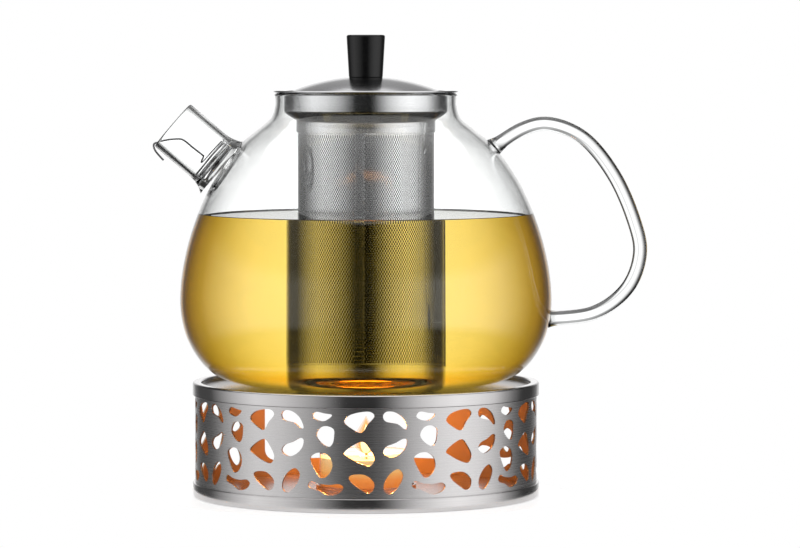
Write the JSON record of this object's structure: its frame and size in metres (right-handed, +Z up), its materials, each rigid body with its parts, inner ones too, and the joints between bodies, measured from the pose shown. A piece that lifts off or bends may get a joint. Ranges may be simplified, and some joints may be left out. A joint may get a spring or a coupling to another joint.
{
  "type": "glass teapot",
  "caption": "Round glass teapot with a glass handle and spout, hanging steel infuser, domed lid with a black knob, and a pierced steel tealight warmer.",
  "frame": {"origin": "centre of the ring that the warmer stands on, at the table's surface", "axes": "+Z up; -X towards the spout, +X towards the handle; +Y towards the warmer's candle window"},
  "size_m": [0.2029, 0.1524, 0.1891],
  "materials": {
    "warmer_steel": "satin, fine lines running round",
    "clear_plastic": "clear, smooth",
    "wax": "white candle wax, waxy and slightly translucent",
    "wick": "braided cotton, charred at the tip",
    "tin": "tinned sheet",
    "clear_glass": "clear blown borosilicate glass, fire-polished",
    "wire_steel": "drawn wire, semi-bright",
    "infuser_steel": "satin to bright stainless",
    "lid_steel": "fine satin, lines running round",
    "knob_plastic": "black, glossy"
  },
  "bodies": {
    "warmer": {"warmer_base_ring": "warmer_steel", "warmer_floor": "warmer_steel", "candle_ring": "warmer_steel", "warmer_shell": "warmer_steel", "warmer_top_ring": "warmer_steel", "pot_rest_plate": "warmer_steel"},
    "tealight": {"tealight_cup": "clear_plastic", "tealight_wax": "wax", "tealight_wick": "wick", "wick_sustainer": "tin"},
    "teapot": {"glass_body": "clear_glass", "glass_spout": "clear_glass", "glass_handle": "clear_glass"},
    "filter": {"spout_filter": "wire_steel"},
    "infuser": {"infuser_collar": "infuser_steel", "infuser_basket": "infuser_steel", "infuser_bottom": "infuser_steel"},
    "lid": {"lid_dome": "lid_steel", "lid_skirt": "lid_steel", "lid_knob": "knob_plastic", "knob_washer": "wire_steel", "knob_screw": "wire_steel"}
  },
  "joints": [
    {"name": "teapot_lift", "type": "slide", "parent": "warmer", "child": "teapot", "axis": [0, 0, 1], "range_m": [0, 0.08]},
    {"name": "tealight_lift", "type": "slide", "parent": "warmer", "child": "tealight", "axis": [0, 0, 1], "range_m": [0, 0.02]},
    {"name": "infuser_lift", "type": "slide", "parent": "teapot", "child": "infuser", "axis": [0, 0, 1], "range_m": [0, 0.125]},
    {"name": "lid_lift", "type": "slide", "parent": "infuser", "child": "lid", "axis": [0, 0, 1], "range_m": [0, 0.04]},
    {"name": "filter_pull", "type": "slide", "parent": "teapot", "child": "filter", "axis": [-0.7604, 0, 0.6494], "range_m": [0, 0.04]}
  ]
}
